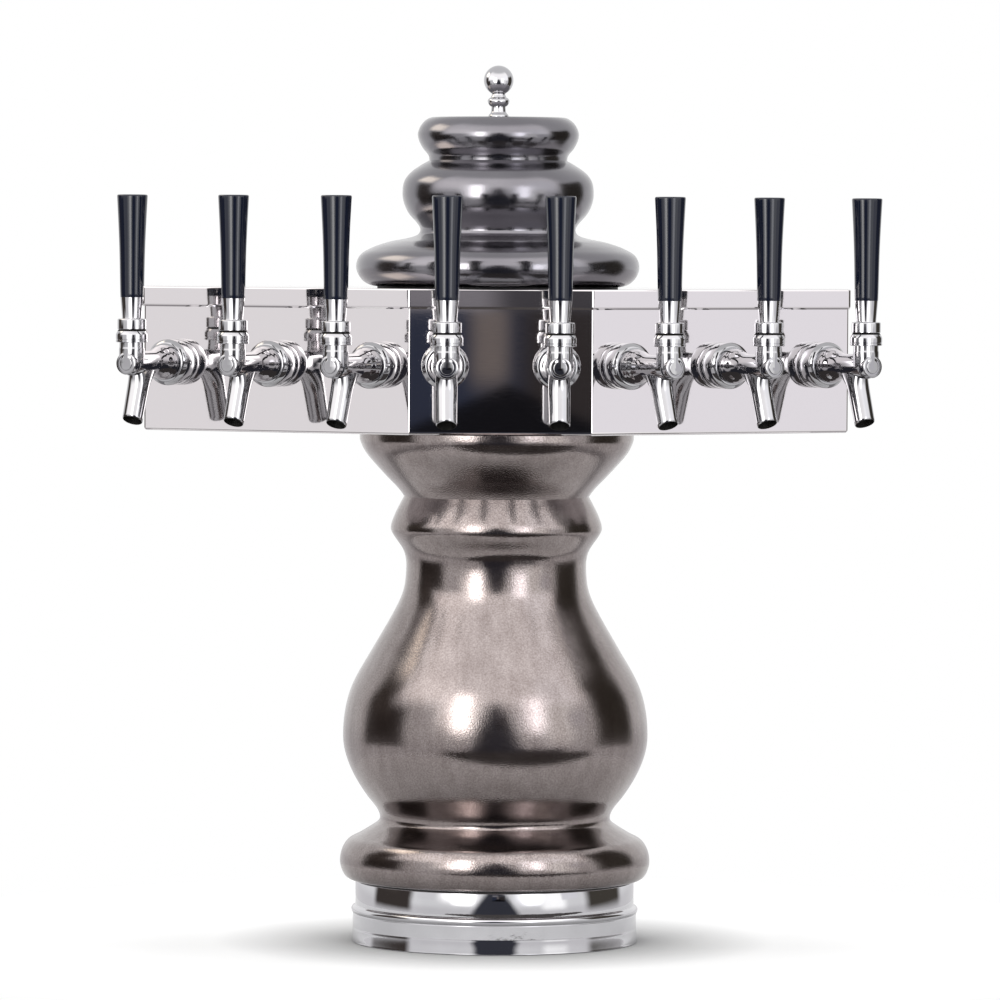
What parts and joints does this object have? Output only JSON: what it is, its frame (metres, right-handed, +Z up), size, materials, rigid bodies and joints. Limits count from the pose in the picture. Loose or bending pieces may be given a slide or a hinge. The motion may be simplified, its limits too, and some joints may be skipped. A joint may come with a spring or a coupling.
{
  "type": "beer tower dispenser",
  "caption": "Column beer tower: chrome base ring, turned body and cap, swept-back polished tap head, pull-handle faucets with moving plungers.",
  "frame": {"origin": "centre of the base on the counter", "axes": "+Z up, the taps face -Y, +X to the right seen from the front"},
  "size_m": [0.6738, 0.3429, 0.7793],
  "materials": {
    "chrome": "polished chrome plate",
    "polished_sheet": "mirror-polished stainless sheet",
    "steel": "plain stainless or zinc-plated steel",
    "copper": "drawn copper tube",
    "body_coat": "cast shell with a metallic brown-grey coat, fine grain, semi-gloss",
    "cap_coat": "cast shell with a metallic grey coat, fine grain, semi-gloss",
    "black_handle": "gloss black",
    "rubber": "matt black rubber",
    "spacer_plastic": "matt white plastic",
    "foam": "closed-cell foam"
  },
  "bodies": {
    "root": {"base_ring": "chrome", "base_gasket": "rubber", "mounting_plate": "steel", "support_column": "steel", "lower_seal": "rubber", "body_shell": "body_coat", "body_insulation": "foam", "upper_seal": "rubber", "head_housing": "polished_sheet", "column_screws": "steel", "head_lid": "polished_sheet", "lid_screws": "steel", "lid_insulation": "foam", "cap_shell": "cap_coat", "cap_gasket": "rubber", "cap_tie_rod": "steel", "tie_rod_nuts": "steel", "finial": "chrome", "shanks": "chrome", "shank_flanges": "chrome", "shank_lock_nuts": "steel", "coupling_nuts": "chrome", "coupling_washers": "rubber", "faucet_bonnets": "chrome", "line_nuts": "steel", "beer_lines": "steel", "coolant_loop": "copper", "line_spacers": "spacer_plastic", "tap_1_body": "chrome", "tap_2_body": "chrome", "tap_3_body": "chrome", "tap_4_body": "chrome", "tap_5_body": "chrome", "tap_6_body": "chrome", "tap_7_body": "chrome", "tap_8_body": "chrome"},
    "lever_1": {"tap_1_lever": "chrome", "tap_1_handle": "black_handle"},
    "plunger_1": {"tap_1_plunger": "chrome"},
    "lever_2": {"tap_2_lever": "chrome", "tap_2_handle": "black_handle"},
    "plunger_2": {"tap_2_plunger": "chrome"},
    "lever_3": {"tap_3_lever": "chrome", "tap_3_handle": "black_handle"},
    "plunger_3": {"tap_3_plunger": "chrome"},
    "lever_4": {"tap_4_lever": "chrome", "tap_4_handle": "black_handle"},
    "plunger_4": {"tap_4_plunger": "chrome"},
    "lever_5": {"tap_5_lever": "chrome", "tap_5_handle": "black_handle"},
    "plunger_5": {"tap_5_plunger": "chrome"},
    "lever_6": {"tap_6_lever": "chrome", "tap_6_handle": "black_handle"},
    "plunger_6": {"tap_6_plunger": "chrome"},
    "lever_7": {"tap_7_lever": "chrome", "tap_7_handle": "black_handle"},
    "plunger_7": {"tap_7_plunger": "chrome"},
    "lever_8": {"tap_8_lever": "chrome", "tap_8_handle": "black_handle"},
    "plunger_8": {"tap_8_plunger": "chrome"}
  },
  "joints": [
    {"name": "tap_1_lever_hinge", "type": "hinge", "parent": "root", "child": "lever_1", "pos_m": [-0.32273, -0.07234, 0.5348], "axis": [0.8829, -0.4695, 0], "range_deg": [0, 30]},
    {"name": "tap_1_plunger_slide", "type": "slide", "parent": "root", "child": "plunger_1", "axis": [0.4695, 0.8829, 0], "range_m": [0, 0.0101]},
    {"name": "tap_2_lever_hinge", "type": "hinge", "parent": "root", "child": "lever_2", "pos_m": [-0.23355, -0.11975, 0.5348], "axis": [0.8829, -0.4695, 0], "range_deg": [0, 30]},
    {"name": "tap_2_plunger_slide", "type": "slide", "parent": "root", "child": "plunger_2", "axis": [0.4695, 0.8829, 0], "range_m": [0, 0.0101]},
    {"name": "tap_3_lever_hinge", "type": "hinge", "parent": "root", "child": "lever_3", "pos_m": [-0.14438, -0.16717, 0.5348], "axis": [0.8829, -0.4695, 0], "range_deg": [0, 30]},
    {"name": "tap_3_plunger_slide", "type": "slide", "parent": "root", "child": "plunger_3", "axis": [0.4695, 0.8829, 0], "range_m": [0, 0.0101]},
    {"name": "tap_4_lever_hinge", "type": "hinge", "parent": "root", "child": "lever_4", "pos_m": [-0.04875, -0.1907, 0.5348], "axis": [1, 0, 0], "range_deg": [0, 30]},
    {"name": "tap_4_plunger_slide", "type": "slide", "parent": "root", "child": "plunger_4", "axis": [0, 1, 0], "range_m": [0, 0.0101]},
    {"name": "tap_5_lever_hinge", "type": "hinge", "parent": "root", "child": "lever_5", "pos_m": [0.04875, -0.1907, 0.5348], "axis": [1, 0, 0], "range_deg": [0, 30]},
    {"name": "tap_5_plunger_slide", "type": "slide", "parent": "root", "child": "plunger_5", "axis": [0, 1, 0], "range_m": [0, 0.0101]},
    {"name": "tap_6_lever_hinge", "type": "hinge", "parent": "root", "child": "lever_6", "pos_m": [0.14438, -0.16717, 0.5348], "axis": [0.8829, 0.4695, 0], "range_deg": [0, 30]},
    {"name": "tap_6_plunger_slide", "type": "slide", "parent": "root", "child": "plunger_6", "axis": [-0.4695, 0.8829, 0], "range_m": [0, 0.0101]},
    {"name": "tap_7_lever_hinge", "type": "hinge", "parent": "root", "child": "lever_7", "pos_m": [0.23355, -0.11975, 0.5348], "axis": [0.8829, 0.4695, 0], "range_deg": [0, 30]},
    {"name": "tap_7_plunger_slide", "type": "slide", "parent": "root", "child": "plunger_7", "axis": [-0.4695, 0.8829, 0], "range_m": [0, 0.0101]},
    {"name": "tap_8_lever_hinge", "type": "hinge", "parent": "root", "child": "lever_8", "pos_m": [0.32273, -0.07234, 0.5348], "axis": [0.8829, 0.4695, 0], "range_deg": [0, 30]},
    {"name": "tap_8_plunger_slide", "type": "slide", "parent": "root", "child": "plunger_8", "axis": [-0.4695, 0.8829, 0], "range_m": [0, 0.0101]}
  ],
  "couplings": [
    {"joint": "tap_1_plunger_slide", "follows": "tap_1_lever_hinge", "m_per_rad": 0.0191},
    {"joint": "tap_2_plunger_slide", "follows": "tap_2_lever_hinge", "m_per_rad": 0.0191},
    {"joint": "tap_3_plunger_slide", "follows": "tap_3_lever_hinge", "m_per_rad": 0.0191},
    {"joint": "tap_4_plunger_slide", "follows": "tap_4_lever_hinge", "m_per_rad": 0.0191},
    {"joint": "tap_5_plunger_slide", "follows": "tap_5_lever_hinge", "m_per_rad": 0.0191},
    {"joint": "tap_6_plunger_slide", "follows": "tap_6_lever_hinge", "m_per_rad": 0.0191},
    {"joint": "tap_7_plunger_slide", "follows": "tap_7_lever_hinge", "m_per_rad": 0.0191},
    {"joint": "tap_8_plunger_slide", "follows": "tap_8_lever_hinge", "m_per_rad": 0.0191}
  ]
}
